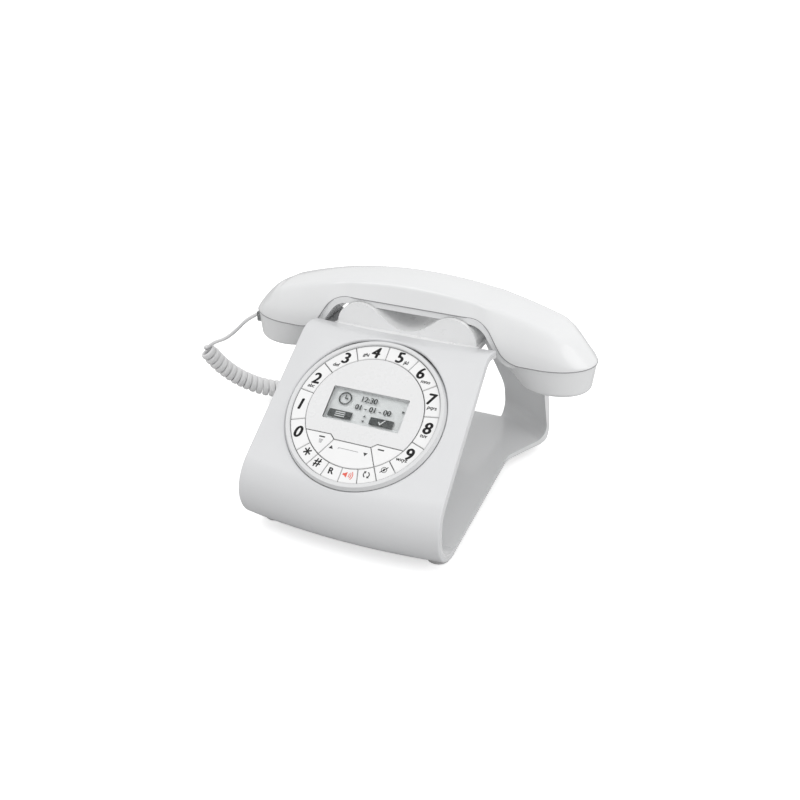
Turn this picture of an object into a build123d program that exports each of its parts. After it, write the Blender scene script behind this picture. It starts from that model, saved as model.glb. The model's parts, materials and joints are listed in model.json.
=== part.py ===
from build123d import *
from math import atan2, cos, degrees, pi, radians, sin, tan
import os

# Retro corded desk telephone.  Millimetres, +Z up, +X to the user's right, the dial faces -Y.
# Origin: middle of the telephone's footprint, on the table (the free cord left out).

# ---- driving dimensions -------------------------------------------------------------------
FOOT = 4.5                     # rubber feet hold the body this far above the table
HALF_WIDTH, TOP_HALF_WIDTH = 60.6, 57.0   # front panel, at its nose and at its top
STRAIGHT_Z = 30.0              # the panel narrows evenly above this height
FRONT_Y = -95.2                # foremost point of the rounded nose
TOP_Z = 96.5                   # top of the body at the cradle
NOSE_R = 24.3
FOLD_R = 15.0
TOP_FALL = 15.0                # the top slopes down to its rear edge, in degrees
PANEL_SLANT = 37.2             # panel above the horizontal, degrees
CROWN_R = 380.0                # plan radius of the panel and nose, seen from above
CROWN_TURN = 15.0              # half the angle it is turned through
CROWN_Y = FRONT_Y + CROWN_R    # the upright axis the crowned panel is turned about

SKIN = 2.2                     # front cover
LINING = 2.0                   # inner cover, behind the skin
PAN = 1.2                      # bottom cover
FLOOR_Z = 8.8                  # upper face of the base
TOP_BACK_Y = 2.6               # front cover ends here, just ahead of the cradle

DIAL_Y, DIAL_Z, DIAL_TILT = -51.2, 73.1, 34.9
DIAL_HOLE_R = 46.6
BEZEL_R, BEZEL_IN_R = 46.35, 42.9
KEY_OUT_R, KEY_IN_R = 42.6, 34.2
DISC_R = 33.7
KEY_GAP = 0.5
KEY_THICK = 3.0
LCD_W, LCD_H, LCD_UP = 46.2, 20.5, 2.4
DRUM_R, DRUM_DEPTH, DRUM_WALL = 50.0, 24.0, 2.0

WALL_AXIS_Y = -1.9             # upright axis of the curved rear wall
WALL_R, WALL_T, WALL_LEAN = 107.6, 3.6, 10.0
WAIST, WAIST_Y = 56.7, 37.5    # straight sides of the base, up to the flare
FLARE, FLARE_Y = 72.9, 70.1
ARCH_HALF, ARCH_TOP, ARCH_Y = 37.0, 66.0, 84.0

HANDSET_Y = 26.6               # middle of the handset, which lies along X
SEAM_HANDLE_Z, SEAM_CUP_Z = 112.2, 89.4
SEAT_Z = 108.4                 # the handle rests on the cradle here
CUP_X, CUP_RX, CUP_RY = 80.0, 29.2, 21.6
CUP_FOOT_X, CUP_FOOT_RX, CUP_FOOT_RY, CUP_BOTTOM_Z = 86.5, 20.8, 17.8, 71.7
END_X, END_RX, END_RY = 91.4, 18.1, 22.1   # rounded ends of the upper shell
HANDSET_TOP_Z, HANDSET_TOP_R = 125.1, 265.0
SIDE_DRAFT = 20.0
CREASE_R = 4.0                 # rounding of the handset's upper creases
SHELL = 2.0

EDGE_R = 0.9                   # softened edges of the front cover

COIL_D, WIRE_D = 12.2, 2.4

dial = Plane(origin=(0, DIAL_Y, DIAL_Z), x_dir=(1, 0, 0),
             z_dir=(0, -sin(radians(DIAL_TILT)), cos(radians(DIAL_TILT))))
parts = {}


def box(x0, x1, y0, y1, z0, z1):
    """A block between two opposite corners."""
    at = Pos((x0 + x1) / 2, (y0 + y1) / 2, (z0 + z1) / 2)
    return at * Box(x1 - x0, y1 - y0, z1 - z0)


def rod(x, y, z0, z1, r):
    """An upright cylinder."""
    return Pos(x, y, (z0 + z1) / 2) * Cylinder(r, z1 - z0)


def on_dial(shape, n=0.0):
    """Carries a shape from the dial's own coordinates, n above the key tops."""
    return dial.location * Pos(0, 0, n) * shape


def disc(r, n0, n1, x=0.0, u=0.0):
    """A cylinder square to the dial, between two heights."""
    return on_dial(Pos(x, u, (n0 + n1) / 2) * Cylinder(r, n1 - n0))


def plate(outline, n0, n1):
    """A flat piece in the dial from an outline drawn in its plane."""
    return on_dial(extrude(outline, n1 - n0), n0)


def polygon(points):
    return make_face(Polyline(*points, close=True))


# ---- front: crowned panel, folded at the top and rounded at the nose -----------------------
def front_profile(inset):
    """The front seen from its right side, its skin moved inwards by inset."""
    slope = tan(radians(PANEL_SLANT))
    nose_y, nose_z = FRONT_Y + NOSE_R, FOOT + NOSE_R
    touch_y = nose_y - NOSE_R * sin(radians(PANEL_SLANT))
    touch_z = nose_z + NOSE_R * cos(radians(PANEL_SLANT))
    drop = inset / cos(radians(PANEL_SLANT))

    def on_panel(z):
        return touch_y + (z - touch_z + drop) / slope

    fall = tan(radians(TOP_FALL))
    rear_z = TOP_Z + TOP_BACK_Y * fall - inset / cos(radians(TOP_FALL))
    fold_y = (rear_z - touch_z + drop + touch_y * slope) / (slope + fall)
    low, high, back = FOOT + inset, rear_z - fold_y * fall, 60.0
    corners = [(back, low), (on_panel(low), low), (fold_y, high), (back, rear_z - back * fall)]
    side = Plane.YZ * polygon(corners)
    by_y = side.vertices().sort_by(Axis.Y)
    side = fillet(by_y[0], NOSE_R - inset)
    fold = side.vertices().filter_by(lambda v: abs(v.Z - high) < 0.01).sort_by(Axis.Y)[0]
    return fillet(fold, FOLD_R - inset)


def crowned(profile):
    """A profile swept sideways about the crown's upright axis."""
    axis = Axis((0, CROWN_Y, 0), (0, 0, 1))
    return revolve(profile.rotate(axis, -CROWN_TURN), axis, 2 * CROWN_TURN)


def crowned_skin(outside, inside):
    """The layer between two insets of the front."""
    return crowned(front_profile(outside) - front_profile(inside))


def half_width(z):
    """Half the front panel's width at one height."""
    share = max(z - STRAIGHT_Z, 0) / (TOP_Z - STRAIGHT_Z)
    return HALF_WIDTH - (HALF_WIDTH - TOP_HALF_WIDTH) * share


def front_slab(y1, y2):
    """What the two sides, which draw together towards the top, keep of the crowned front."""
    top_z = 130
    sides = polygon([(-HALF_WIDTH, 0), (HALF_WIDTH, 0), (HALF_WIDTH, STRAIGHT_Z), (half_width(top_z), top_z),
                     (-half_width(top_z), top_z), (-HALF_WIDTH, STRAIGHT_Z)])
    depth = box(-90, 90, -120, y1, 20, top_z) + box(-90, 90, -120, y2, 0, 20)
    return extrude(Plane.XZ * sides, 130, both=True) & depth


middle = crowned(front_profile(SKIN))
slab = front_slab(TOP_BACK_Y, -66.0)
front_cover = crowned_skin(0.0, SKIN) & slab
front_cover -= disc(DIAL_HOLE_R, -14, 14)
MIC_X, MIC_Z = -35.5, 13.2
front_cover -= Pos(MIC_X, FRONT_Y + 6, MIC_Z) * Rot(90, 0, 0) * Cylinder(0.8, 24)


def stands_out(edge):
    """True for an edge of the cover's outer face, on one of its straight sides."""
    at = edge @ 0.5
    on_side = abs(abs(at.X) - half_width(at.Z)) < 0.01
    return on_side and edge.length > 3 and middle.distance_to(Vertex(at.X * 0.999, at.Y, at.Z)) > SKIN / 2


def dial_height(edge):
    return dial.to_local_coords(edge @ 0.5).Z


def rings_dial(edge):
    at = dial.to_local_coords(edge @ 0.5)
    return abs(Vector(at.X, at.Y).length - DIAL_HOLE_R) < 0.05


front_cover = fillet(front_cover.edges().filter_by(stands_out), EDGE_R)
front_cover = fillet(front_cover.edges().filter_by(rings_dial).sort_by(dial_height)[-1], EDGE_R)
parts["front_cover"] = front_cover

drum = disc(DRUM_R, -DRUM_DEPTH, 12)
drum = fillet(drum.edges().filter_by(GeomType.CIRCLE).sort_by(Axis.Z)[:1], 8.0)
hollow = disc(DRUM_R - DRUM_WALL, DRUM_WALL - DRUM_DEPTH, 20)
hollow = fillet(hollow.edges().filter_by(GeomType.CIRCLE).sort_by(Axis.Z)[:1], 6.0)
lining = crowned_skin(SKIN, SKIN + LINING) & slab
inner_cover = lining + (drum & middle & slab) - hollow
inner_cover -= Pos(MIC_X, FRONT_Y + 9, MIC_Z) * Rot(90, 0, 0) * Cylinder(3.3, 30)
parts["inner_cover"] = inner_cover
parts["base_microphone"] = (Pos(MIC_X, FRONT_Y + 9, MIC_Z) * Rot(90, 0, 0) * Cylinder(3.2, 30)
                            & middle) - Pos(0, 3.4, 0) * middle

# ---- base, rear wall and top bridge: one moulding -----------------------------------------
def can(inset, floor_z, bottom_r, top_r):
    """A round, leaning can about the wall's axis; the moulding is cut from its wall."""
    lean = tan(radians(WALL_LEAN))
    top_z = TOP_Z - inset

    def radius(z):
        return WALL_R - inset / cos(radians(WALL_LEAN)) - (z - FOOT) * lean

    side = Plane.XZ * polygon([(0, floor_z), (radius(floor_z), floor_z), (radius(top_z), top_z), (0, top_z)])
    rim = side.vertices().sort_by(Axis.X)[-2:].sort_by(Axis.Z)
    side = fillet(rim[0], bottom_r)
    rim = side.vertices().filter_by(lambda v: v.X > 1 and abs(v.Z - top_z) < 0.01).sort_by(Axis.X)
    side = fillet(rim[-1], top_r)
    return Pos(0, WALL_AXIS_Y, 0) * revolve(side, Axis.Z, 360)


def base_outline(shrink=0.0):
    """Straight sides that flare out to the rear corners, drawn from above."""
    half, waist, flare = HALF_WIDTH - shrink, WAIST - shrink, FLARE - shrink
    right = [(half, -66), (waist, WAIST_Y), (flare, FLARE_Y), (flare, 115)]
    flat = polygon(right + [(-x, y) for x, y in reversed(right)])
    flat = fillet(flat.vertices().filter_by(lambda v: abs(v.Y - WAIST_Y) < 0.1), 22.0)
    return fillet(flat.vertices().filter_by(lambda v: abs(v.Y - FLARE_Y) < 0.1), 4.0)


PLATFORM_HALF, PLATFORM_BACK = 45.5, 48.6
HIPS_Z = 44.0                  # the rear wall narrows above this height
wall_face = polygon([(-FLARE - 9, 0), (FLARE + 9, 0), (FLARE + 9, HIPS_Z), (PLATFORM_HALF, TOP_Z + 3),
                     (-PLATFORM_HALF, TOP_Z + 3), (-FLARE - 9, HIPS_Z)])
wall_face = fillet(wall_face.vertices().filter_by(lambda v: abs(v.Y - HIPS_Z) < 0.1), 60.0)
arch = polygon([(-ARCH_HALF, -5), (ARCH_HALF, -5), (ARCH_HALF - 1, 30), (17, ARCH_TOP),
                (-17, ARCH_TOP), (1 - ARCH_HALF, 30)])
arch = fillet(arch.vertices().filter_by(lambda v: v.Y > ARCH_TOP - 1), 14.0)
arch = fillet(arch.vertices().filter_by(lambda v: abs(v.Y - 30) < 1), 26.0)

frame = can(0, FOOT + PAN, 8.5, 18.0) - can(WALL_T, FLOOR_Z, 8.0, 14.5)
frame &= extrude(base_outline(), 120)
frame &= extrude(Plane.XZ * wall_face, 240, both=True)
frame -= Pos(0, ARCH_Y + 60, 0) * extrude(Plane.XZ * arch, 60, both=True)
frame -= box(-80, 80, -120, PLATFORM_BACK, 60, 120)
parts["base_frame"] = frame

# ---- bottom cover, ballast, feet and screws ---------------------------------------------
pan_r = WALL_R - 9.0
pan = extrude(base_outline(1.2), PAN) & (Pos(0, WALL_AXIS_Y, PAN / 2) * Cylinder(pan_r, PAN))
pan -= box(-ARCH_HALF, ARCH_HALF, ARCH_Y - 1, 120, -1, 3)
pan = Pos(0, 0, FOOT) * pan
ballast = box(-44, 44, -50, 42, FOOT + PAN, FOOT + PAN + 1.6)
parts["ballast_plate"] = ballast
parts["base_frame"] -= ballast

FOOT_SPOTS = [(-51.5, -66.5), (51.5, -66.5), (-60, 74), (60, 74)]
FOOT_R = 6.5
SCREW_SPOTS = [(-50, -30), (50, -30), (-50, 50), (50, 50)]
feet, screws = [], []
for x, y in FOOT_SPOTS:
    pad = rod(x, y, 0, FOOT, FOOT_R)
    feet.append(fillet(pad.edges().sort_by(Axis.Z)[:1], 0.8))
for x, y in SCREW_SPOTS:
    screw = rod(x, y, FOOT, FOOT + 1.0, 2.6) + rod(x, y, FOOT, FLOOR_Z - 0.6, 1.2)
    screws.append(screw - box(x - 1.6, x + 1.6, y - 0.3, y + 0.3, FOOT, FOOT + 0.5))
    pan -= rod(x, y, FOOT, FOOT + 1.0, 2.6) + rod(x, y, FOOT, FLOOR_Z, 1.2)
    parts["base_frame"] -= rod(x, y, FOOT, FLOOR_Z - 0.6, 1.2)
parts["bottom_cover"] = pan
parts["feet"] = Compound(feet)
parts["housing_screws"] = Compound(screws)

# ---- jacks in a small housing on the floor, facing back through the arch -------------------
JACK_X0, JACK_X1, JACK_Y0, JACK_Y1, JACK_TOP = -37.0, -3.0, 62.0, 83.6, 23.0
JACK_Z = 16.2
HANDSET_JACK_X, LINE_JACK_X = -11.5, -27.0


def jack(x, y_face, z, hole_w, hole_h):
    """A modular jack body with its square socket, open towards +Y."""
    body = box(x - 6.5, x + 6.5, y_face - 17, y_face, z - 5.8, z + 5.8)
    socket = box(x - hole_w / 2, x + hole_w / 2, y_face - 13, y_face, z - hole_h / 2, z + hole_h / 2)
    key = box(x - 1.8, x + 1.8, y_face - 13, y_face, z - hole_h / 2 - 1.2, z)
    return body - socket - key


housing = box(JACK_X0, JACK_X1, JACK_Y0, JACK_Y1, FLOOR_Z, JACK_TOP)
tall = housing.edges().filter_by(Axis.Z).sort_by(Axis.Y)[:2]
housing = fillet(tall, 4.0)
housing = fillet(housing.faces().sort_by(Axis.Z)[-1].edges(), 1.2)
housing -= box(JACK_X0 + 1.6, JACK_X1 - 1.6, JACK_Y0 + 1.6, JACK_Y1, FLOOR_Z, JACK_TOP - 0.8)
rear_lip = box(JACK_X0 + 1.6, JACK_X1 - 1.6, JACK_Y1 - 1.2, JACK_Y1, FLOOR_Z, JACK_TOP - 0.8)
for x in (HANDSET_JACK_X, LINE_JACK_X):
    rear_lip -= box(x - 6.5, x + 6.5, 60, 90, JACK_Z - 5.8, JACK_Z + 5.8)
parts["jack_housing"] = housing + rear_lip
parts["handset_jack"] = jack(HANDSET_JACK_X, JACK_Y1, JACK_Z, 7.9, 6.6)
parts["line_jack"] = jack(LINE_JACK_X, JACK_Y1, JACK_Z, 9.9, 6.6)

# ---- cradle: two humps that carry the handle, with the hook switch inside ------------------
CRADLE_Y0, HORN_T = 5.8, 2.3
CRADLE_Y1 = 2 * HANDSET_Y - CRADLE_Y0
HUMP_X, HUMP_FOOT_X, HUMP_TOP = 29.0, 44.0, 110.8
VALLEY_RISE = 1.8               # between the humps, above the top
PLATFORM_T = 3.0
PLUNGER_X, PLUNGER_R = HUMP_X, 3.0
SEAT_GAP = 0.2

crest = Spline((-HUMP_FOOT_X, TOP_Z), (-HUMP_X, HUMP_TOP), (0, TOP_Z + VALLEY_RISE), (HUMP_X, HUMP_TOP),
               (HUMP_FOOT_X, TOP_Z),
               tangents=((0, 1), (1, 0), (1, 0), (1, 0), (0, -1)), tangent_scalars=(1.2, 1.1, 1.3, 1.1, 1.2))
foot_line = Polyline((HUMP_FOOT_X, TOP_Z), (HUMP_FOOT_X, TOP_Z - 1), (-HUMP_FOOT_X, TOP_Z - 1),
                     (-HUMP_FOOT_X, TOP_Z))
hump_face = make_face([crest, foot_line])
humps = Pos(0, CRADLE_Y0, 0) * extrude(Plane.XZ * hump_face, -(CRADLE_Y1 - CRADLE_Y0))
humps -= box(-60, 60, CRADLE_Y0 + HORN_T, CRADLE_Y1 - HORN_T, SEAT_Z - SEAT_GAP, 130)
for side_x in (-1, 1):
    humps -= box(side_x * 30.5 - 8.5, side_x * 30.5 + 8.5, HANDSET_Y - 15, HANDSET_Y + 15, TOP_Z - 2, 106.5)
    humps -= Pos(side_x * 44, HANDSET_Y, 116) * Box(20, CRADLE_Y1 - CRADLE_Y0 - 2 * HORN_T, 18.8)
platform = box(-PLATFORM_HALF, PLATFORM_HALF, TOP_BACK_Y, PLATFORM_BACK, TOP_Z - PLATFORM_T, TOP_Z)
platform -= Pos(PLUNGER_X, HANDSET_Y, TOP_Z) * Box(13, 7, 10)
cradle = humps + platform
cradle -= rod(PLUNGER_X, HANDSET_Y, 102, 112, PLUNGER_R + 0.3)
parts["cradle"] = cradle

PLUNGER_Z = TOP_Z + 0.9
plunger = rod(PLUNGER_X, HANDSET_Y, PLUNGER_Z, SEAT_Z - SEAT_GAP, PLUNGER_R)
plunger += rod(PLUNGER_X, HANDSET_Y, PLUNGER_Z, PLUNGER_Z + 1.0, 4.2)
parts["hook_plunger"] = fillet(plunger.edges().sort_by(Axis.Z)[-1], 0.9)
switch = Pos(PLUNGER_X, HANDSET_Y, TOP_Z - 4.1) * Box(12.6, 6.4, 8.6)
switch += rod(PLUNGER_X, HANDSET_Y, TOP_Z - 1, PLUNGER_Z - 0.2, 1.2)
parts["hook_switch"] = switch
WELL_Z = TOP_Z - 10
well = box(-36, 40, 12, 41, WELL_Z, TOP_Z - PLATFORM_T)
well = fillet(well.edges().filter_by(Axis.Z) + well.faces().sort_by(Axis.Z)[0].edges(), 3.0)
well -= box(-34.4, 38.4, 13.6, 39.4, WELL_Z + 1.6, TOP_Z)
parts["hook_well"] = well

# ---- dial: keys in a ring, display panel and soft keys inside it ---------------------------
DIGIT_ANGLE, FUNCTION_ANGLE = 27.1, 14.85


def key_sector(middle_angle, half_angle):
    """The outline of one ring key; angles run clockwise from the top of the dial."""
    a, h = radians(middle_angle), radians(half_angle)
    tip = KEY_GAP / 2 / sin(h)
    reach = 60.0
    apex = Vector(sin(a), cos(a)) * tip
    left = apex + Vector(sin(a - h), cos(a - h)) * reach
    right = apex + Vector(sin(a + h), cos(a + h)) * reach
    ring = Circle(KEY_OUT_R) - Circle(KEY_IN_R)
    return ring & make_face(Polyline(apex, left, right, close=True))


def soften_top(shape, r):
    """Bevels the edges of the face that points out of the dial."""
    level = dial.location.inverse() * (Part() + shape)
    return dial.location * chamfer(level.faces().sort_by(Axis.Z)[-1].edges(), r)


clockwise = ["key_5", "key_6", "key_7", "key_8", "key_9", "key_mute", "key_redial", "key_speaker"]
counter = ["key_4", "key_3", "key_2", "key_1", "key_0", "key_star", "key_hash", "key_recall"]
for sign, names in ((1, clockwise), (-1, counter)):
    angle = 0.0
    for i, name in enumerate(names):
        width = DIGIT_ANGLE if i < 5 else FUNCTION_ANGLE
        key = plate(key_sector(sign * (angle + width / 2), width / 2), -KEY_THICK, 0)
        parts[name] = soften_top(key, 0.35)
        angle += width

BEZEL_BACK, BEZEL_TOP = -5.2, 1.0
BEZEL_FLANK, BEZEL_LIP = 1.2, 0.4   # the outer slope's width and the inner edge's bevel
bezel_profile = polygon([(BEZEL_IN_R, BEZEL_BACK), (BEZEL_R, BEZEL_BACK), (BEZEL_R, -1.4),
                         (BEZEL_R - BEZEL_FLANK, BEZEL_TOP), (BEZEL_IN_R + BEZEL_LIP, BEZEL_TOP),
                         (BEZEL_IN_R, BEZEL_TOP - BEZEL_LIP)])
parts["dial_bezel"] = on_dial(revolve(Plane.XZ * bezel_profile, Axis.Z, 360))


def groove(a, b):
    """The gap between two pieces of the inner disc, along a line."""
    run = Vector(*b) - Vector(*a)
    middle_of = (Vector(*a) + Vector(*b)) * 0.5
    turn = Rot(0, 0, degrees(atan2(run.Y, run.X)))
    return on_dial(Pos(middle_of.X, middle_of.Y, 0) * turn * Box(run.length + KEY_GAP, KEY_GAP, 12))


inner_disc = disc(DISC_R, -KEY_THICK, 0)
corner, knee = (14.0, -16.6), (11.1, -19.2)
for side_x in (-1, 1):
    chain = [(side_x * 36, -17.0), (side_x * corner[0], corner[1]), (side_x * knee[0], knee[1])]
    for a, b in zip(chain, chain[1:] + [(side_x * 19.6, -34.8)]):
        inner_disc -= groove(a, b)
inner_disc -= groove((-knee[0], knee[1]), (knee[0], knee[1]))
pieces = sorted(inner_disc.solids(), key=lambda s: -s.volume)
panel = pieces[0]
low = sorted(pieces[1:4], key=lambda s: s.center().X)
window = RectangleRounded(LCD_W, LCD_H, 0.8)
panel -= on_dial(Pos(0, LCD_UP, -6) * extrude(window, 12))
parts["display_panel"] = panel
parts["softkey_left"] = soften_top(low[0], 0.3)
parts["nav_rocker"] = soften_top(low[1], 0.3)
parts["softkey_right"] = soften_top(low[2], 0.3)
parts["display_lens"] = on_dial(Pos(0, LCD_UP, -1.35) * extrude(window, 1.2))
parts["lcd_module"] = on_dial(Pos(0, LCD_UP, -4.2) * Box(52, 27, 2.0))
mat = disc(DISC_R + 8.2, -5.2, -4.5) - on_dial(Pos(0, LCD_UP, -5) * Box(52.6, 27.6, 3))
parts["keypad_mat"] = mat
parts["keypad_pcb"] = disc(45.6, -6.8, -5.2)
parts["main_pcb"] = on_dial(Pos(0, 4, -10.6) * Box(50, 50, 1.6))
horn = disc(21, -21.8, -19.5, 0, 2) + disc(14, -19.5, -13, 0, 2)
parts["loudspeaker"] = horn
POST_R = 28.2
posts = [(r * POST_R, s * POST_R) for r in (-1, 1) for s in (-1, 1)]
board_screws = []
for x, u in posts:
    post = disc(2.6, -DRUM_DEPTH + 1.0, -6.8, x, u) - disc(0.9, -12, -6, x, u)
    parts["inner_cover"] += post
    board_screws.append(disc(2.0, -5.2, -4.6, x, u) + disc(0.9, -11.5, -5, x, u))
    parts["keypad_pcb"] -= disc(0.9, -8, -5, x, u)
    parts["keypad_mat"] -= disc(2.0, -6, -4, x, u)
parts["board_screws"] = Compound(board_screws)

# ---- handset ------------------------------------------------------------------------------
def oval(shrink, z):
    """The handset's outline from above, at one height: two long arcs joined by round ends."""
    half, tip = 26.4 - shrink, END_X + END_RX - shrink
    cup_half, cup_x = END_RY - shrink, END_X - 0.25 * shrink
    swell = half - cup_half
    lean = atan2(2 * swell * cup_x, cup_x ** 2 - swell ** 2)
    outline = []
    for sign in (1, -1):
        near, far = (sign * cup_x, -sign * cup_half), (sign * cup_x, sign * cup_half)
        start, end = (sign * cos(lean), sign * sin(lean)), (-sign * cos(lean), sign * sin(lean))
        outline.append(ThreePointArc((-near[0], near[1]), (0, -sign * half), near))
        outline.append(Spline(near, (sign * tip, 0), far, tangents=(start, (0, sign), end)))
    return Pos(0, HANDSET_Y, z) * make_face(outline)


END_SLOPE = [(88, 110.2), (108.5, 93.5), (130, 81.5)]   # how the arch drops off beyond each cup


def top_solid(inset, rounded=False):
    """The arched, tapering upper half, its skin moved inwards by inset."""
    below, rise = 1.0, 38.0
    draft = tan(radians(SIDE_DRAFT))
    foot = oval(inset - below * draft, SEAM_CUP_Z - below)
    head = oval(inset + rise * draft, SEAM_CUP_Z + rise)
    body = loft([foot, head], ruled=True)
    crown = Pos(0, 0, HANDSET_TOP_Z - inset - HANDSET_TOP_R) * Rot(90, 0, 0) * Cylinder(HANDSET_TOP_R, 120)
    right = [(x, z - inset) for x, z in END_SLOPE]
    left = [(-x, z) for x, z in reversed(right)]
    ends = polygon([(-130, 70)] + left + [(-right[0][0], 140), (right[0][0], 140)] + right + [(130, 70)])
    solid = body & (Pos(0, HANDSET_Y, 0) * crown) & extrude(Plane.XZ * ends, 120, both=True)
    solid -= below_seam(0.0)
    if not rounded:
        return solid
    creases = solid.edges().filter_by(lambda e: (e @ 0.5).Z > SEAM_CUP_Z + 3 and (
        abs((e @ 0.5).X) > 62 or (e @ 0.5).Z > SEAM_HANDLE_Z + 1))
    return fillet(creases, CREASE_R)


def seam_line(drop):
    """The parting line seen from the front: high over the handle, low round the cups."""
    low, high = SEAM_CUP_Z - drop, SEAM_HANDLE_Z - drop
    cup_x, handle_x = 62 - drop * 0.35, 47.5 - drop * 0.6
    return [(-130, low), (-cup_x, low), (-handle_x, high), (handle_x, high), (cup_x, low), (130, low)]


def below_seam(drop):
    """All the space below the parting line, lowered by drop."""
    face = polygon(seam_line(drop) + [(130, 40), (-130, 40)])
    high = face.vertices().filter_by(lambda v: abs(v.Y - SEAM_HANDLE_Z + drop) < 0.1)
    face = fillet(high, 16.0 - drop)
    low_corner = face.vertices().filter_by(lambda v: abs(v.Y - SEAM_CUP_Z + drop) < 0.1 and abs(v.X) < 100)
    face = fillet(low_corner, 16.0 + drop)
    return extrude(Plane.XZ * face, 150, both=True)


def cup_solid(side_x, inset):
    """One cup, a wide oval at the seam that narrows to a rounder one at its foot."""
    rim = Pos(side_x * CUP_X, HANDSET_Y, SEAM_CUP_Z) * Ellipse(CUP_RX - inset, CUP_RY - inset)
    foot = Pos(side_x * CUP_FOOT_X, HANDSET_Y, CUP_BOTTOM_Z + inset) * Ellipse(
        CUP_FOOT_RX - inset, CUP_FOOT_RY - inset)
    cup = loft([foot, rim], ruled=True)
    return fillet(cup.edges().sort_by(Axis.Z)[0], 3.2 - inset)


def strip_solid(inset):
    """The lower half of the handle, which runs down into both cups."""
    points = [(0, 17.9), (33, 17.6), (51, 19.8), (60, 20.8), (69, 19.8)]
    right = [(x, y - inset) for x, y in points]
    around = right + [(x, -y) for x, y in reversed(right)] + [(-x, -y) for x, y in right[1:]]
    around += [(-x, y) for x, y in reversed(right[1:])]
    outline = make_face(Polyline(*around, close=True))
    rounding = outline.vertices().filter_by(lambda v: 20 < abs(v.X) < 80)
    outline = fillet(rounding, 9.0)
    prism = Pos(0, HANDSET_Y, 60) * extrude(outline, 60)
    return (prism & (below_seam(0.0) - below_seam(SEAM_HANDLE_Z - SEAT_Z - inset))) - box(
        -130, 130, -60, 90, 40, SEAM_CUP_Z - 5 + inset)


def bottom_solid(inset):
    return strip_solid(inset) + cup_solid(1, inset) + cup_solid(-1, inset)


parts["handset_top_shell"] = top_solid(0.0, rounded=True) - top_solid(SHELL)
bottom = bottom_solid(0.0)
for side_x in (-1, 1):
    bottom -= cup_solid(side_x, SHELL)
bottom -= strip_solid(1.6)
LID_T, LID_X0, LID_X1 = 1.6, 45.0, 63.0   # closes each cup where the handle comes down to it
for side_x in (-1, 1):
    x0, x1 = sorted((side_x * LID_X0, side_x * LID_X1))
    lid = box(x0, x1, HANDSET_Y - 30, HANDSET_Y + 30, SEAM_CUP_Z - LID_T, SEAM_CUP_Z)
    bottom += lid & cup_solid(side_x, 0.0)

MOUTH_HOLES, EAR_HOLES = 5, 8
for side_x, count, ring_r in ((-1, MOUTH_HOLES, 4.0), (1, EAR_HOLES, 8.0)):
    centre_x = side_x * CUP_FOOT_X
    bottom -= rod(centre_x, HANDSET_Y, 60, 76, 1.0)
    for i in range(count):
        hole = Pos(ring_r, 0, 0) * Cylinder(1.0, 16)
        bottom -= Pos(centre_x, HANDSET_Y, 68) * Rot(0, 0, 360 * i / count) * hole

PORT_Y, PORT_Z, PORT_X = HANDSET_Y - 5.0, 83.5, -106.0
port = box(PORT_X, PORT_X + 13, PORT_Y - 5.2, PORT_Y + 5.2, PORT_Z - 4.8, PORT_Z + 4.8)
port_hole = box(PORT_X - 8, PORT_X + 11, PORT_Y - 4.0, PORT_Y + 4.0, PORT_Z - 3.4, PORT_Z + 3.4)
inside_cup = cup_solid(-1, SHELL)
parts["handset_cord_socket"] = (port & inside_cup) - port_hole
bottom -= port_hole
parts["handset_bottom_shell"] = bottom
PLUG_X = -108.4
plug = box(PLUG_X, PORT_X + 9.5, PORT_Y - 3.8, PORT_Y + 3.8, PORT_Z - 3.2, PORT_Z + 3.2)
parts["handset_plug"] = fillet(plug.edges().filter_by(Axis.X), 0.7)

MOUTH_X, EAR_X = -CUP_FOOT_X + 2.0, CUP_FOOT_X
parts["mouthpiece_microphone"] = rod(MOUTH_X, HANDSET_Y, CUP_BOTTOM_Z + SHELL, CUP_BOTTOM_Z + 6.5, 5.0)
parts["earpiece_receiver"] = (rod(EAR_X, HANDSET_Y, CUP_BOTTOM_Z + SHELL, CUP_BOTTOM_Z + 7.0, 12.5)
                              + rod(EAR_X, HANDSET_Y, CUP_BOTTOM_Z + 7.0, CUP_BOTTOM_Z + 12.0, 8.0))
parts["handset_weight"] = box(-26, 26, HANDSET_Y - 7, HANDSET_Y + 7, 113.6, 118.4)

handset_screws = []
for side_x in (-1, 1):
    x = side_x * 30
    screw = rod(x, HANDSET_Y + 10, SEAT_Z + 0.2, SEAT_Z + 1.4, 2.2)
    screw += rod(x, HANDSET_Y + 10, SEAT_Z + 0.2, 115.5, 1.1)
    handset_screws.append(screw)
    parts["handset_bottom_shell"] -= rod(x, HANDSET_Y + 10, SEAT_Z - 1, SEAT_Z + 1.4, 2.2)
    parts["handset_bottom_shell"] -= rod(x, HANDSET_Y + 10, SEAT_Z - 1, 115.5, 1.1)
    boss = rod(x, HANDSET_Y + 10, 110.0, 121, 2.6) - rod(x, HANDSET_Y + 10, 100, 115.5, 1.1)
    parts["handset_top_shell"] += boss & top_solid(SHELL / 2)
parts["handset_screws"] = Compound(handset_screws)

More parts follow.
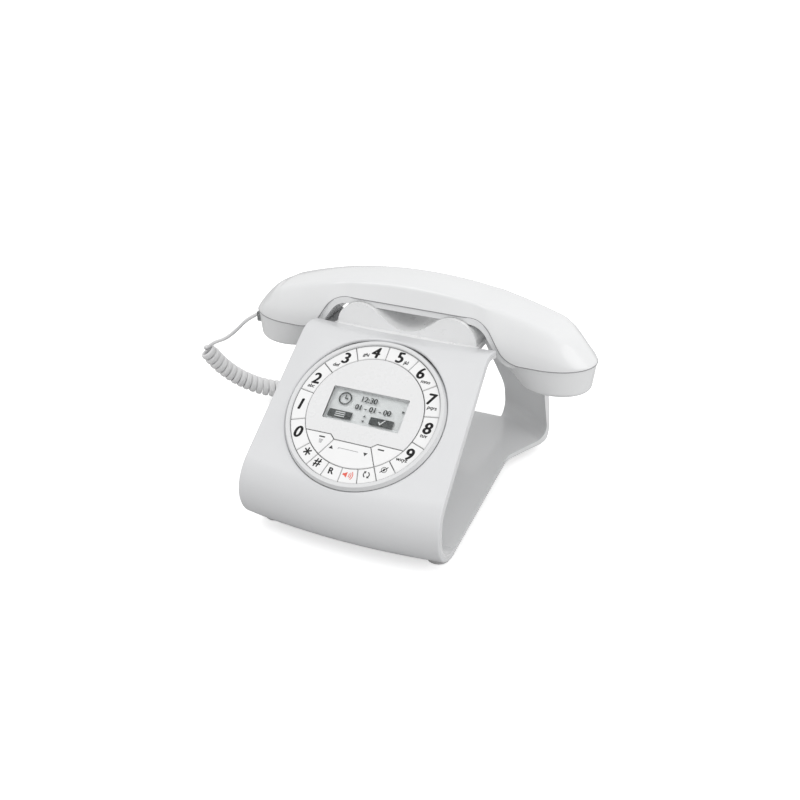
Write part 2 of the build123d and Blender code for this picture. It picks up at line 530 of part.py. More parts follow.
# ---- curly cord: straight lead, coil as one fat tube, and tail into the base jack -----------
COIL_ROUTE = [(-157.6, 29.0, 45.5), (-152.6, 35.0, 33.0), (-144.5, 42.0, 21.8), (-132.5, 51.5, 11.8),
              (-117.0, 61.0, 7.2), (-101.0, 74.0, 6.7), (-86.0, 89.0, 6.6), (-68.0, 102.5, 6.6),
              (-47.0, 112.5, 6.6), (-25.0, 116.0, 6.6)]
LEAD_ROUTE = [(PLUG_X, PORT_Y, PORT_Z + 1.0), (-118.5, 22.6, 78.6), (-130.0, 24.4, 66.4),
              (-140.6, 26.6, 57.6),
              (-150.0, 28.4, 53.0), (-157.4, 29.8, 47.0)]
TAIL_ROUTE = [(-26.0, 116.2, 6.6), (-17.0, 117.6, 6.2), (-9.2, 112.6, 6.8), (-9.0, 103.0, 10.6),
              (-11.0, 94.6, 14.6), (HANDSET_JACK_X, 86.6, JACK_Z)]


def tube(name, route, diameter):
    """Straight runs joined by arcs as large as the two runs at each corner allow."""
    points = [Vector(*p) for p in route]
    radii = []
    for a, b, c in zip(points, points[1:], points[2:]):
        turn = (b - a).get_angle(c - b)
        radii.append(0.45 * min((b - a).length, (c - b).length) / tan(radians(turn / 2)))
    path = FilletPolyline(*points, radius=radii)
    section = Plane(origin=path @ 0, z_dir=path % 0) * Circle(diameter / 2)
    solid = sweep(section, path=path)
    expected = pi * diameter ** 2 / 4 * path.length
    print(name, "radii", [round(r) for r in radii], "length", round(path.length, 1),
          "volume ratio", round(solid.volume / expected, 4))
    return solid


coil = tube("cord_coil", COIL_ROUTE, COIL_D)
parts["cord_coil"] = coil
parts["cord_lead"] = tube("cord_lead", LEAD_ROUTE, WIRE_D) - coil - parts["handset_plug"]
parts["cord_tail"] = tube("cord_tail", TAIL_ROUTE, WIRE_D) - coil
plug = box(HANDSET_JACK_X - 3.8, HANDSET_JACK_X + 3.8, JACK_Y1 - 11, JACK_Y1 + 3.0,
           JACK_Z - 3.2, JACK_Z + 3.2)
parts["base_plug"] = fillet(plug.edges().filter_by(Axis.Y), 0.7)
parts["cord_tail"] -= parts["base_plug"]

# ---- write every piece to its own file ----------------------------------------------------
os.makedirs("parts", exist_ok=True)
for old in os.listdir("parts"):
    os.remove(os.path.join("parts", old))
for name, shape in parts.items():
    solids = shape.solids()
    whole = Compound(solids) if len(solids) > 1 else solids[0]
    export_step(whole, f"parts/{name}.step")
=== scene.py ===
import json
from math import cos, pi, radians, sin, sqrt

import bmesh
import bpy
from mathutils import Matrix, Vector


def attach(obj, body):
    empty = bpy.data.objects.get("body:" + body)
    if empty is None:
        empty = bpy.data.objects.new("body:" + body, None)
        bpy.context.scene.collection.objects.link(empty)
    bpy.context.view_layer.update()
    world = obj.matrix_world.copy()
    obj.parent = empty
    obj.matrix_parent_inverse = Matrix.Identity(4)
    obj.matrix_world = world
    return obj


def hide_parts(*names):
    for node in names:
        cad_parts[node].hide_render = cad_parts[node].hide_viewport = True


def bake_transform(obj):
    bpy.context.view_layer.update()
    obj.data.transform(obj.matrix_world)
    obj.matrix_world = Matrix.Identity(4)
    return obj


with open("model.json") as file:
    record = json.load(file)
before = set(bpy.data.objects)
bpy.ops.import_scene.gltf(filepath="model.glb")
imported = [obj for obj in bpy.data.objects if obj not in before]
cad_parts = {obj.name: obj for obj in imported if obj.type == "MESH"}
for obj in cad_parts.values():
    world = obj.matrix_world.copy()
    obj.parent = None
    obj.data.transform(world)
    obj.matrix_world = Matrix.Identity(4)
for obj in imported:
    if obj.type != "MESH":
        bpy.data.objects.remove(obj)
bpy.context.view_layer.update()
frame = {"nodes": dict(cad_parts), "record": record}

nodes = frame["nodes"]
MM = 0.001


def mm(*values):
    """A point given in millimetres, in metres."""
    return Vector([value * MM for value in values])


# ---- camera ---------------------------------------------------------------------------------
camera = bpy.data.objects.new("camera", bpy.data.cameras.new("camera"))
bpy.context.scene.collection.objects.link(camera)
camera.location = mm(211.71, -485.21, 344.88)
camera.rotation_euler = (radians(61.322), 0, radians(23.666))
camera.data.sensor_width = 36
camera.data.lens = 45.246
camera.data.clip_start = 0.01
bpy.context.scene.camera = camera

# ---- sizes shared with the CAD --------------------------------------------------------------
DIAL_CENTRE, DIAL_TILT = mm(0, -51.2, 73.1), radians(34.9)
to_dial = Matrix.Translation(DIAL_CENTRE) @ Matrix.Rotation(DIAL_TILT, 4, "X")

COIL_D, WIRE_D = 12.2 * MM, 2.4 * MM
LEAD_ROUTE = [(-108.4, 21.6, 84.5), (-118.5, 22.6, 78.6), (-130.0, 24.4, 66.4), (-140.6, 26.6, 57.6),
              (-150.0, 28.4, 53.0), (-157.4, 29.8, 47.0)]
COIL_ROUTE = [(-157.6, 29.0, 45.5), (-152.6, 35.0, 33.0), (-144.5, 42.0, 21.8), (-132.5, 51.5, 11.8),
              (-117.0, 61.0, 7.2), (-101.0, 74.0, 6.7), (-86.0, 89.0, 6.6), (-68.0, 102.5, 6.6),
              (-47.0, 112.5, 6.6), (-25.0, 116.0, 6.6)]
TAIL_ROUTE = [(-26.0, 116.2, 6.6), (-17.0, 117.6, 6.2), (-9.2, 112.6, 6.8), (-9.0, 103.0, 10.6),
              (-11.0, 94.6, 14.6), (-11.5, 86.6, 16.2)]


# ---- materials ------------------------------------------------------------------------------
def noise(tree, scale, detail=3.0, rough=0.5, stretch=(1, 1, 1)):
    """A noise texture in the object's own metres."""
    place = tree.nodes.new("ShaderNodeTexCoord")
    scaled = tree.nodes.new("ShaderNodeMapping")
    scaled.inputs["Scale"].default_value = stretch
    texture = tree.nodes.new("ShaderNodeTexNoise")
    texture.inputs["Scale"].default_value = scale
    texture.inputs["Detail"].default_value = detail
    texture.inputs["Roughness"].default_value = rough
    tree.links.new(place.outputs["Object"], scaled.inputs["Vector"])
    tree.links.new(scaled.outputs["Vector"], texture.inputs["Vector"])
    return texture.outputs["Fac"]


def remap(tree, value, low, high):
    """Stretches a 0 to 1 value over another range."""
    node = tree.nodes.new("ShaderNodeMapRange")
    node.inputs["From Min"].default_value = 0.3
    node.inputs["From Max"].default_value = 0.7
    node.inputs["To Min"].default_value = low
    node.inputs["To Max"].default_value = high
    tree.links.new(value, node.inputs["Value"])
    return node.outputs["Result"]


def moulded(name, colour, roughness, shift=0.007, grain=2600.0, depth=0.00002, coat=0.0, **sockets):
    """Moulded plastic: a faint cloudiness in its colour, uneven gloss, and a fine grain as relief."""
    material = bpy.data.materials.new(name)
    material.use_nodes = True
    tree = material.node_tree
    shader = tree.nodes["Principled BSDF"]
    ramp = tree.nodes.new("ShaderNodeValToRGB")
    ramp.color_ramp.elements[0].position = 0.3
    ramp.color_ramp.elements[1].position = 0.7
    ramp.color_ramp.elements[0].color = [max(c - shift, 0) for c in colour] + [1]
    ramp.color_ramp.elements[1].color = [min(c + shift, 1) for c in colour] + [1]
    tree.links.new(noise(tree, 38.0), ramp.inputs["Fac"])
    tree.links.new(ramp.outputs["Color"], shader.inputs["Base Color"])
    gloss = remap(tree, noise(tree, 160.0, 4.0, 0.6), roughness * 0.85, min(roughness * 1.15, 1))
    tree.links.new(gloss, shader.inputs["Roughness"])
    bump = tree.nodes.new("ShaderNodeBump")
    bump.inputs["Strength"].default_value = 0.35
    bump.inputs["Distance"].default_value = depth
    tree.links.new(noise(tree, grain, 2.0), bump.inputs["Height"])
    tree.links.new(bump.outputs["Normal"], shader.inputs["Normal"])
    shader.inputs["Coat Weight"].default_value = coat
    shader.inputs["Coat Roughness"].default_value = 0.08
    for socket, value in sockets.items():
        shader.inputs[socket.replace("_", " ")].default_value = value
    return material


WHITE = (0.79, 0.795, 0.80)
finishes = {
    "front_shell": moulded("satin_white", (0.70, 0.705, 0.715), 0.36, depth=0.00003, coat=0.15),
    "inner_shell": moulded("gloss_white", WHITE, 0.2, coat=0.5),
    "under_shell": moulded("matt_white", (0.66, 0.67, 0.675), 0.5),
    "handset_shell": moulded("handset_white", (0.80, 0.805, 0.81), 0.2, coat=0.5),
    "cradle_plastic": moulded("cradle_white", (0.85, 0.853, 0.855), 0.3, coat=0.2),
    "bezel_plastic": moulded("bezel_satin", (0.68, 0.685, 0.69), 0.3, coat=0.3),
    "dial_face": moulded("pearl_panel", (0.74, 0.742, 0.745), 0.28, coat=0.2),
    "key_plastic": moulded("key_white", (0.86, 0.86, 0.86), 0.42),
    "lens": moulded("clear_window", (0.97, 0.98, 0.98), 0.02, shift=0.0, depth=0.0,
                    Transmission_Weight=1.0, IOR=1.02),
    "lcd": moulded("display_glass", (0.74, 0.75, 0.75), 0.4, shift=0.01),
    "silicone": moulded("silicone", (0.6, 0.6, 0.58), 0.6),
    "circuit_board": moulded("solder_mask", (0.03, 0.16, 0.07), 0.35),
    "speaker": moulded("speaker_black", (0.03, 0.03, 0.03), 0.6),
    "capsule": moulded("capsule", (0.5, 0.5, 0.5), 0.35, Metallic=1.0),
    "steel": moulded("zinc_plate", (0.5, 0.5, 0.51), 0.35, Metallic=1.0),
    "screw_steel": moulded("screw_zinc", (0.42, 0.42, 0.43), 0.3, Metallic=1.0),
    "rubber": moulded("pale_rubber", (0.45, 0.45, 0.45), 0.7),
    "jack_plastic": moulded("jack_grey", (0.05, 0.05, 0.055), 0.45),
    "clear_plug": moulded("clear_plug", (0.8, 0.82, 0.82), 0.12, Transmission_Weight=0.8, IOR=1.45),
    "cord_sheath": moulded("cord_white", (0.78, 0.78, 0.785), 0.32, coat=0.25),
}
ink = moulded("black_print", (0.012, 0.012, 0.013), 0.4, shift=0.004)
red_ink = moulded("red_print", (0.75, 0.09, 0.05), 0.4, shift=0.01)
segment = moulded("display_segment", (0.055, 0.06, 0.06), 0.4, shift=0.004)
groove_dark = moulded("groove_shade", (0.25, 0.25, 0.26), 0.6)

slots = {entry["node"]: entry["material_slot"] for entry in frame["record"]["subparts"]}
for name, node in nodes.items():
    node.data.materials.clear()
    node.data.materials.append(finishes[slots[name]])


# ---- mesh helpers ---------------------------------------------------------------------------
def piece(name, mesh, material, body):
    """A finished object that rides on a body."""
    made = bpy.data.objects.new(name, mesh)
    bpy.context.scene.collection.objects.link(made)
    mesh.materials.clear()
    mesh.materials.append(material)
    if body:
        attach(made, body)
    return made


# ---- printing on the keys and the display ----------------------------------------------------
PRINT_T = 0.03
FIGURE_R, FIGURE_SIZE = 38.3, 9.6
LETTER_SIZE = 3.1


def on_ring(radius, angle):
    """A place on the dial's face; the angle runs clockwise from its top."""
    return radius * sin(radians(angle)), radius * cos(radians(angle))


def lettering(shape, text, x, u, size, level=0.0, lean=0.12, bold=0.0):
    """Adds thin raised letters to a mesh in dial millimetres; bold is the extra stroke width."""
    curve = bpy.data.curves.new("letters", "FONT")
    curve.body = text
    curve.align_x = "CENTER"
    curve.shear = lean
    curve.size = 1
    curve.extrude = PRINT_T / size / 2
    holder = bpy.data.objects.new("letters", curve)
    mesh = bpy.data.meshes.new_from_object(holder)
    low = min(vertex.co.y for vertex in mesh.vertices)
    high = max(vertex.co.y for vertex in mesh.vertices)
    left = min(vertex.co.x for vertex in mesh.vertices)
    right = max(vertex.co.x for vertex in mesh.vertices)
    centre = Vector(((left + right) / 2, (low + high) / 2, 0))
    mesh.transform(Matrix.Translation((x, u, level + PRINT_T / 2)) @ Matrix.Scale(size, 4)
                   @ Matrix.Translation(-centre))
    for across, up in ((0, 0), (-1, 0), (1, 0), (0, -0.6), (0, 0.6), (-0.5, 0.3), (0.5, -0.3)):
        moved = mesh.copy()
        moved.transform(Matrix.Translation((across * bold / 2, up * bold / 2, 0)))
        shape.from_mesh(moved)
        bpy.data.meshes.remove(moved)
    bpy.data.meshes.remove(mesh)
    bpy.data.curves.remove(curve)


def slab_shape(shape, outline, level=0.0, thick=PRINT_T):
    """Adds a flat slab with the given outline, in dial millimetres."""
    under = [shape.verts.new((x, u, level)) for x, u in outline]
    over = [shape.verts.new((x, u, level + thick)) for x, u in outline]
    shape.faces.new(list(reversed(under)))
    shape.faces.new(over)
    for k in range(len(outline)):
        j = (k + 1) % len(outline)
        shape.faces.new((under[k], under[j], over[j], over[k]))


def bar(shape, x, u, width, height, level=0.0, thick=PRINT_T):
    w, h = width / 2, height / 2
    slab_shape(shape, [(x - w, u - h), (x + w, u - h), (x + w, u + h), (x - w, u + h)], level, thick)


def arc_band(shape, x, u, radius, width, start, end, level=0.0):
    """A curved stroke; angles run clockwise from the top."""
    steps = 14
    turns = [radians(start + (end - start) * k / steps) for k in range(steps + 1)]
    for a, b in zip(turns, turns[1:]):
        corners = []
        for r, t in ((radius, a), (radius, b), (radius + width, b), (radius + width, a)):
            corners.append((x + r * sin(t), u + r * cos(t)))
        slab_shape(shape, corners, level)


def printed(name, draw, material, body):
    """One printed mark: draw fills a mesh in dial millimetres, which is then laid on the dial."""
    shape = bmesh.new()
    draw(shape)
    bmesh.ops.recalc_face_normals(shape, faces=shape.faces)
    mesh = bpy.data.meshes.new(name)
    shape.to_mesh(mesh)
    shape.free()
    mesh.transform(to_dial @ Matrix.Scale(MM, 4))
    return piece(name, mesh, material, body)


FIGURES = {
    "key_5": ("5", 12.4, "jkl", 20.1, 36.8), "key_6": ("6", 37.5, "mno", 47.5, 37.6),
    "key_7": ("7", 65.2, "pqrs", 74.0, 38.0), "key_8": ("8", 91.8, "tuv", 99.3, 38.0),
    "key_9": ("9", 118.2, "wxyz", 126.7, 38.0), "key_4": ("4", -10.0, "ghi", -18.9, 36.9),
    "key_3": ("3", -36.8, "def", -46.8, 37.2), "key_2": ("2", -67.5, "abc", -75.5, 38.0),
    "key_1": ("1", -94.3, "", 0, 0), "key_0": ("0", -120.6, "", 0, 0),
}


def figure_print(figure, angle, letters, letter_angle, letter_r):
    def draw(shape):
        lettering(shape, figure, *on_ring(FIGURE_R, angle), FIGURE_SIZE, bold=0.75)
        if letters:
            lettering(shape, letters, *on_ring(letter_r, letter_angle), LETTER_SIZE, bold=0.2)
    return draw


for key, (figure, angle, letters, letter_angle, letter_r) in FIGURES.items():
    draw = figure_print(figure, angle, letters, letter_angle, letter_r)
    printed("print_" + key, draw, ink, key)


def star_print(shape):
    x, u = on_ring(37.6, -142.1)
    for turn in (0, 60, 120):
        t = radians(turn + 8)
        along, across = (sin(t) * 2.5, cos(t) * 2.5), (cos(t) * 0.45, -sin(t) * 0.45)
        slab_shape(shape, [(x - along[0] - across[0], u - along[1] - across[1]),
                           (x + along[0] - across[0], u + along[1] - across[1]),
                           (x + along[0] + across[0], u + along[1] + across[1]),
                           (x - along[0] + across[0], u - along[1] + across[1])])


def hash_print(shape):
    lettering(shape, "#", *on_ring(37.8, -156.5), 7.0, bold=0.35)


def recall_print(shape):
    lettering(shape, "R", *on_ring(37.8, -171.6), 5.2, lean=0.0, bold=0.4)


def speaker_print(shape):
    x, u = on_ring(37.8, 173.0)
    slab_shape(shape, [(x - 3.2, u - 0.55), (x - 2.4, u - 0.55), (x - 0.7, u - 1.7),
                       (x - 0.7, u + 1.7), (x - 2.4, u + 0.55), (x - 3.2, u + 0.55)])
    for radius in (1.3, 2.3, 3.3):
        arc_band(shape, x - 0.9, u, radius, 0.45, 50, 130)


def redial_print(shape):
    x, u = on_ring(37.8, 157.5)
    for turn in (0, 180):
        arc_band(shape, x, u, 1.35, 0.6, turn + 20, turn + 130)
        t = radians(turn + 130)
        tip = (x + 1.65 * sin(t) + 1.15 * cos(t), u + 1.65 * cos(t) - 1.15 * sin(t))
        inner_end = (x + 0.7 * sin(t), u + 0.7 * cos(t))
        outer_end = (x + 2.6 * sin(t), u + 2.6 * cos(t))
        slab_shape(shape, [inner_end, outer_end, tip])


def mute_print(shape):
    x, u = on_ring(37.8, 142.5)
    arc_band(shape, x, u, 1.35, 0.35, 0, 360)
    bar(shape, x, u, 1.0, 1.6)
    slab_shape(shape, [(x - 2.1, u - 1.75), (x - 1.75, u - 2.1), (x + 2.1, u + 1.75), (x + 1.75, u + 2.1)])


def nav_print(shape):
    slab_shape(shape, [(-12.1, -25.0), (-9.5, -25.0), (-10.8, -23.0)])
    slab_shape(shape, [(8.2, -23.0), (9.5, -25.0), (10.8, -23.0)])


def nav_slot(shape):
    bar(shape, -0.7, -23.5, 12.0, 0.28)
    bar(shape, -6.6, -23.9, 0.28, 1.0)


def menu_print(shape):
    bar(shape, -18.3, -19.3, 3.6, 0.8)


def menu_list(shape):
    for row in range(4):
        bar(shape, -18.2, -21.0 - 0.62 * row, 2.5 - 0.3 * row, 0.3)


def select_print(shape):
    bar(shape, 17.3, -19.4, 3.6, 0.8)


printed("print_key_star", star_print, ink, "key_star")
printed("print_key_hash", hash_print, ink, "key_hash")
printed("print_key_recall", recall_print, ink, "key_recall")
printed("print_key_speaker", speaker_print, red_ink, "key_speaker")
printed("print_key_redial", redial_print, ink, "key_redial")
printed("print_key_mute", mute_print, ink, "key_mute")
printed("print_nav", nav_print, ink, "nav")
printed("print_nav_slot", nav_slot, groove_dark, "nav")
printed("print_softkey_left", menu_print, ink, "softkey_left")
printed("print_menu_list", menu_list, groove_dark, "softkey_left")
printed("print_softkey_right", select_print, ink, "softkey_right")

LCD_LEVEL = -2.19


def display_figures(shape):
    """A round mark, a clock, a date and two soft-key labels' marks."""
    arc_band(shape, -14.9, 6.9, 3.2, 0.8, 0, 360, LCD_LEVEL)
    bar(shape, -14.9, 8.1, 0.7, 2.4, LCD_LEVEL)
    bar(shape, -14.1, 6.9, 1.8, 0.7, LCD_LEVEL)
    lettering(shape, "12:30", -0.4, 8.7, 4.6, LCD_LEVEL, lean=0.0, bold=0.2)
    lettering(shape, "01 - 01 - 00", 3.4, 3.4, 4.6, LCD_LEVEL, lean=0.0, bold=0.2)
    slab_shape(shape, [(-0.9, -1.9), (0.9, -1.9), (0.0, -0.6)], LCD_LEVEL)
    slab_shape(shape, [(-0.9, -3.9), (0.0, -5.2), (0.9, -3.9)], LCD_LEVEL)
    slab_shape(shape, [(20.2, 5.0), (21.8, 5.8), (20.2, 6.6)], LCD_LEVEL)


def display_labels(shape):
    bar(shape, -14.5, -3.1, 14.3, 4.6, LCD_LEVEL)
    bar(shape, 10.8, -3.1, 14.1, 4.6, LCD_LEVEL)


def label_marks(shape):
    """Light marks inside the two dark labels: three list rows and a tick."""
    for row in range(3):
        bar(shape, -14.5, -1.9 - 1.2 * row, 6.0, 0.5, LCD_LEVEL + 0.04)
    slab_shape(shape, [(8.9, -3.0), (10.3, -4.7), (13.0, -1.3), (12.4, -1.0), (10.3, -3.7), (9.4, -2.7)],
               LCD_LEVEL + 0.04)


printed("print_display_figures", display_figures, segment, "base")
printed("print_display_labels", display_labels, segment, "base")
printed("print_display_marks", label_marks, finishes["lcd"], "base")

# ---- curly cord -----------------------------------------------------------------------------
def spline_points(route, resolution=24):
    """Points along the smooth line whose control points are the route's."""
    curve = bpy.data.curves.new("route", "CURVE")
    curve.dimensions = "3D"
    line = curve.splines.new("NURBS")
    line.points.add(len(route) - 1)
    for point, place in zip(line.points, route):
        point.co = (*mm(*place), 1)
    line.order_u = 3
    line.use_endpoint_u = True
    curve.resolution_u = resolution
    holder = bpy.data.objects.new("route", curve)
    mesh = bpy.data.meshes.new_from_object(holder)
    points = [vertex.co.copy() for vertex in mesh.vertices]
    bpy.data.meshes.remove(mesh)
    bpy.data.curves.remove(curve)
    return points


def arc_lengths(points):
    total = [0.0]
    for a, b in zip(points, points[1:]):
        total.append(total[-1] + (b - a).length)
    return total


def carried_frames(points):
    """A side direction at each point, carried along the line without twisting."""
    sides = []
    side = Vector((0, 1, 0))
    for i, point in enumerate(points):
        ahead = points[min(i + 1, len(points) - 1)] - points[max(i - 1, 0)]
        ahead.normalize()
        side = (side - ahead * side.dot(ahead)).normalized()
        sides.append((ahead, side.copy(), ahead.cross(side)))
    return sides


def smooth_step(t):
    t = min(max(t, 0.0), 1.0)
    return t * t * (3 - 2 * t)


COIL_PITCH = 4.6 * MM
TURN_POINTS = 26
WIRE_SIDES = 12
RIBBON_W, RIBBON_T = 4.3 * MM, 2.2 * MM
HELIX_R = (COIL_D - RIBBON_T) / 2
RAMP = 1.1 * COIL_PITCH


def cord_line():
    """The wire's centreline as one line, with each point's way out from the coil's middle and how far
    it has grown into the coil's flat ribbon."""
    lead_end = arc_lengths(spline_points(LEAD_ROUTE))[-1]
    coil_length = arc_lengths(spline_points(COIL_ROUTE))[-1]
    middle_line = spline_points(LEAD_ROUTE + COIL_ROUTE + TAIL_ROUTE[1:])
    along = arc_lengths(middle_line)
    sides = carried_frames(middle_line)
    coil_start, coil_end = lead_end - 0.3 * RAMP, lead_end + coil_length + 0.3 * RAMP
    wire, outward, grown = [], [], []
    at, index, angle = 0.0, 0, radians(150)
    while at < along[-1]:
        while along[index + 1] < at:
            index += 1
        share = (at - along[index]) / (along[index + 1] - along[index])
        centre = middle_line[index].lerp(middle_line[index + 1], share)
        side = sides[index][1].lerp(sides[index + 1][1], share).normalized()
        other = sides[index][2].lerp(sides[index + 1][2], share).normalized()
        growth = smooth_step((at - coil_start) / RAMP) * smooth_step((coil_end - at) / RAMP)
        way_out = side * cos(angle) + other * sin(angle)
        wire.append(centre + way_out * HELIX_R * growth)
        outward.append(way_out)
        grown.append(growth)
        inside = coil_start < at < coil_end
        at += COIL_PITCH / TURN_POINTS if inside else WIRE_D / 2
        if inside:
            angle += 2 * pi / TURN_POINTS
    wire.append(middle_line[-1])
    outward.append(outward[-1])
    grown.append(0.0)
    return wire, outward, grown


def ribbon_mesh(name, line, outward, grown):
    """The cord's sheath: round in the lead and tail, a flat rounded ribbon in the coil."""
    mesh = bpy.data.meshes.new(name)
    shape = bmesh.new()
    rings = []
    for i, centre in enumerate(line):
        ahead = (line[min(i + 1, len(line) - 1)] - line[max(i - 1, 0)]).normalized()
        across = ahead.cross(outward[i]).normalized()
        out = across.cross(ahead)
        half_t = (WIRE_D + (RIBBON_T - WIRE_D) * grown[i]) / 2
        half_w = (WIRE_D + (RIBBON_W - WIRE_D) * grown[i]) / 2
        ring = []
        for k in range(WIRE_SIDES):
            a = 2 * pi * k / WIRE_SIDES
            ring.append(shape.verts.new(centre + out * cos(a) * half_t + across * sin(a) * half_w))
        rings.append(ring)
    for ring, following in zip(rings, rings[1:]):
        for k in range(WIRE_SIDES):
            j = (k + 1) % WIRE_SIDES
            shape.faces.new((ring[k], ring[j], following[j], following[k]))
    shape.faces.new(list(reversed(rings[0])))
    shape.faces.new(rings[-1])
    bmesh.ops.recalc_face_normals(shape, faces=shape.faces)
    for face in shape.faces:
        face.smooth = True
    shape.to_mesh(mesh)
    shape.free()
    return mesh


def tube_mesh(name, line, radius, sides):
    """A round tube along a line, closed at both ends."""
    mesh = bpy.data.meshes.new(name)
    shape = bmesh.new()
    rings = []
    for centre, (_, side, other) in zip(line, carried_frames(line)):
        turn = [2 * pi * k / sides for k in range(sides)]
        rings.append([shape.verts.new(centre + (side * cos(a) + other * sin(a)) * radius) for a in turn])
    for ring, following in zip(rings, rings[1:]):
        for k in range(sides):
            shape.faces.new((ring[k], ring[(k + 1) % sides], following[(k + 1) % sides], following[k]))
    shape.faces.new(list(reversed(rings[0])))
    shape.faces.new(rings[-1])
    for face in shape.faces:
        face.smooth = True
    shape.to_mesh(mesh)
    shape.free()
    return mesh


wire_line, wire_outward, wire_grown = cord_line()
cord = piece("curly_cord", ribbon_mesh("curly_cord", wire_line, wire_outward, wire_grown),
             finishes["cord_sheath"], None)
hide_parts("cord_lead", "cord_coil", "cord_tail")
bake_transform(cord)

# ---- handset: the upper shell as one smooth surface, and the parting line round it ----------
HANDSET_Y = 26.6
CREST_Z, CREST_R = 125.1, 265.0
SEAM_HIGH, SEAM_LOW = 112.2, 89.4
HANDLE_HALF, CUP_HALF = 18.1, 21.8
CUP_MID_X, CUP_END = 80.0, 29.3
STRIP_HALF, STRIP_DROP = 16.0, 1.5
END_EDGE_X, END_EDGE_Z, END_FALL = 89.0, 110.1, 0.97
SEAM_ARC, HIGH_ARC_X, LOW_ARC_X = 16.0, 38.72, 70.78
SEAM_SLOPE = (SEAM_HIGH - SEAM_LOW) / 14.5


def plan_half(x):
    """Half the handset's width at its parting line."""
    reach = abs(x)
    if reach > CUP_MID_X:
        return CUP_HALF * sqrt(max(1 - ((reach - CUP_MID_X) / CUP_END) ** 2, 0))
    pinch = 0.5 * smooth_step(1 - abs(reach - 43) / 12)
    return HANDLE_HALF + (CUP_HALF - HANDLE_HALF) * smooth_step((reach - 38) / 22) - pinch


def seam_z(x):
    """The parting line's height: high over the handle, low round the cups."""
    reach = abs(x)
    if reach < HIGH_ARC_X:
        return SEAM_HIGH
    if reach > LOW_ARC_X:
        return SEAM_LOW
    high = SEAM_HIGH - SEAM_ARC + sqrt(max(SEAM_ARC ** 2 - (reach - HIGH_ARC_X) ** 2, 0))
    low = SEAM_LOW + SEAM_ARC - sqrt(max(SEAM_ARC ** 2 - (LOW_ARC_X - reach) ** 2, 0))
    straight = SEAM_HIGH - (reach - 47.5) * SEAM_SLOPE
    if reach < 52.22:
        return high
    return straight if reach < 57.28 else low


def crest_z(x):
    """The handset's highest line: a long arc, then a slope down to each end."""
    arc = CREST_Z - (CREST_R - sqrt(CREST_R ** 2 - x * x))
    slope = END_EDGE_Z - (abs(x) - END_EDGE_X) * END_FALL
    width = 3.0
    near = max(width - abs(arc - slope), 0) / width
    bulge = 2.2 * sin(pi * min(max((abs(x) - END_EDGE_X) / (CUP_MID_X + CUP_END - END_EDGE_X), 0), 1))
    return min(arc, slope) - near * near * width / 4 + bulge


SIDE_STEPS, TOP_STEPS = 12, 10


def upper_section(x):
    """Half of one cross-section, from the parting line up to the crest."""
    wide, low, high = plan_half(x), seam_z(x), max(crest_z(x), seam_z(x) + 0.02)
    cup = smooth_step((abs(x) - 40) / 26)
    end = smooth_step((abs(x) - 84) / 14)
    strip = min(STRIP_HALF - 1.8 * smooth_step(abs(x) / 88), 0.8 * wide)
    strip = strip * (1 - end) + 0.62 * wide * end
    drop = min(STRIP_DROP + 2.2 * end, 0.35 * (high - low))
    line = []
    for k in range(SIDE_STEPS):
        t = k / SIDE_STEPS
        line.append([wide + (strip - wide) * t ** (1 + 1.1 * cup), low + (high - drop - low) * t])
    for k in range(TOP_STEPS + 1):
        y = strip * (1 - k / TOP_STEPS)
        line.append([y, high - drop * (y / max(strip, 0.01)) ** 2])
    for _ in range(2):
        copy = [list(point) for point in line]
        for k in range(SIDE_STEPS - 3, SIDE_STEPS + 4):
            for axis in (0, 1):
                line[k][axis] = (copy[k - 1][axis] + 2 * copy[k][axis] + copy[k + 1][axis]) / 4
    return line


def stations():
    """Places along the handset, closer together where its shape changes."""
    last = CUP_MID_X + CUP_END
    right = [1.5 * k for k in range(1, 54)]
    right += [CUP_MID_X + 1.0 + (CUP_END - 1.01) * sin(pi / 2 * k / 26) for k in range(27)]
    right = [x for x in right if x < last]
    return [-x for x in reversed(right)] + [0.0] + right


def upper_shell():
    mesh = bpy.data.meshes.new("handset_upper")
    shape = bmesh.new()
    rows = []
    for x in stations():
        half = upper_section(x)
        ring = [(y, z) for y, z in half] + [(-y, z) for y, z in reversed(half[:-1])]
        rows.append([shape.verts.new(mm(x, HANDSET_Y + y, z)) for y, z in ring])
    for row, following in zip(rows, rows[1:]):
        for k in range(len(row) - 1):
            shape.faces.new((row[k], row[k + 1], following[k + 1], following[k]))
        shape.faces.new((row[-1], row[0], following[0], following[-1]))
    shape.faces.new(rows[0])
    shape.faces.new(list(reversed(rows[-1])))
    bmesh.ops.recalc_face_normals(shape, faces=shape.faces)
    for face in shape.faces:
        face.smooth = True
    for edge in shape.edges:
        if len(edge.link_faces) == 2 and edge.calc_face_angle(0) > radians(50):
            edge.smooth = False
    shape.to_mesh(mesh)
    shape.free()
    return mesh


upper = piece("handset_upper", upper_shell(), finishes["handset_shell"], "handset")
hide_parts("handset_top_shell")

SEAM_LINE_R = 0.28
front_line = [mm(x, HANDSET_Y - plan_half(x) + 0.06, seam_z(x)) for x in stations()]
back_line = [mm(x, HANDSET_Y + plan_half(x) - 0.06, seam_z(x)) for x in reversed(stations())]
seam = tube_mesh("handset_seam", front_line + back_line + front_line[:1], SEAM_LINE_R * MM, 6)
piece("handset_seam", seam, groove_dark, "handset")

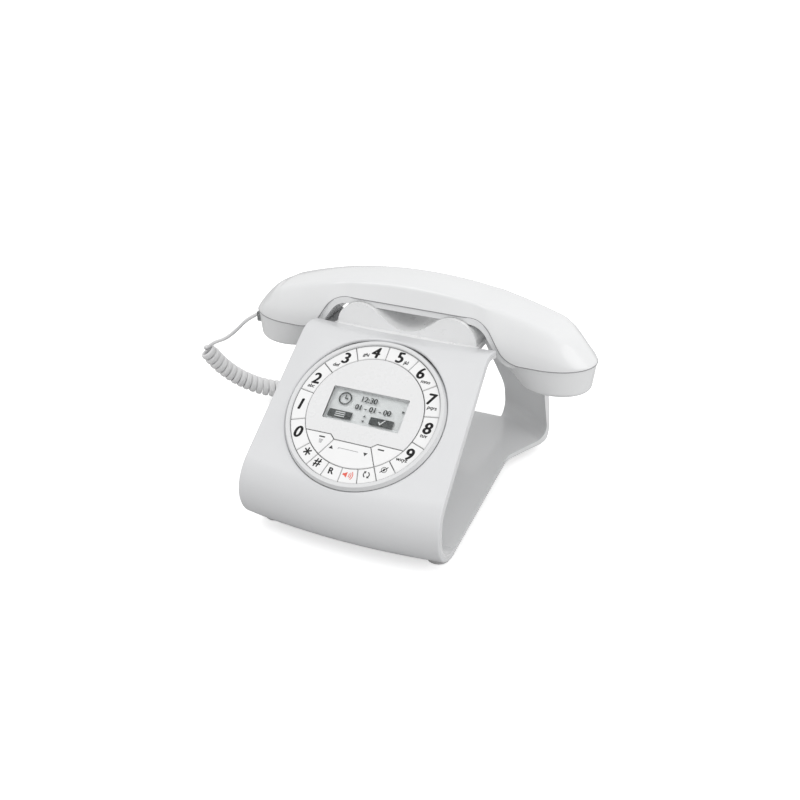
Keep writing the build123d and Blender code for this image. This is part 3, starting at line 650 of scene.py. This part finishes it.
# ---- floor and light ------------------------------------------------------------------------
floor_mesh = bpy.data.meshes.new("floor")
FLOOR_HALF = 8.0
floor_mesh.from_pydata([(-FLOOR_HALF, -FLOOR_HALF, 0), (FLOOR_HALF, -FLOOR_HALF, 0),
                        (FLOOR_HALF, FLOOR_HALF, 0), (-FLOOR_HALF, FLOOR_HALF, 0)], [], [(0, 1, 2, 3)])
floor = bpy.data.objects.new("floor", floor_mesh)
bpy.context.scene.collection.objects.link(floor)
pale_floor = moulded("pale_floor", (0.93, 0.93, 0.93), 0.9, shift=0.0, depth=0.0)
floor_tree = pale_floor.node_tree
floor_shader = floor_tree.nodes["Principled BSDF"]
floor_shader.inputs["Emission Color"].default_value = (1, 1, 1, 1)
seen = floor_tree.nodes.new("ShaderNodeLightPath")
for socket, bounced, direct in (("Base Color", 0.5, 0.93), ("Emission Strength", 0.0, 0.5)):
    chosen = floor_tree.nodes.new("ShaderNodeMapRange")
    chosen.inputs["To Min"].default_value = bounced
    chosen.inputs["To Max"].default_value = direct
    floor_tree.links.new(seen.outputs["Is Camera Ray"], chosen.inputs["Value"])
    floor_tree.links.new(chosen.outputs["Result"], floor_shader.inputs[socket])
floor_mesh.materials.append(pale_floor)

world = bpy.data.worlds.new("studio")
world.use_nodes = True
world.node_tree.nodes["Background"].inputs["Color"].default_value = (1, 1, 1, 1)
studio = world.node_tree
way = studio.nodes.new("ShaderNodeTexCoord")
split = studio.nodes.new("ShaderNodeSeparateXYZ")
side_light = studio.nodes.new("ShaderNodeMapRange")
side_light.inputs["From Min"].default_value = -1.0
side_light.inputs["From Max"].default_value = 0.8
side_light.inputs["To Min"].default_value = 0.78
side_light.inputs["To Max"].default_value = 1.0
studio.links.new(way.outputs["Generated"], split.inputs["Vector"])
studio.links.new(split.outputs["X"], side_light.inputs["Value"])
studio.links.new(side_light.outputs["Result"], studio.nodes["Background"].inputs["Strength"])
bpy.context.scene.world = world
bpy.context.scene.view_settings.view_transform = "Standard"


def softbox(name, place, aim, size, power):
    """A square area light that looks at a point."""
    light = bpy.data.lights.new(name, "AREA")
    light.size = size
    light.energy = power
    lamp = bpy.data.objects.new(name, light)
    bpy.context.scene.collection.objects.link(lamp)
    lamp.location = place
    lamp.rotation_euler = (Vector(aim) - Vector(place)).to_track_quat("-Z", "Y").to_euler()


softbox("key_light", (-0.5, -0.5, 1.3), (0, 0, 0.05), 0.9, 3.5)
softbox("fill_light", (1.0, -0.1, 0.3), (0, 0, 0.05), 0.8, 2)
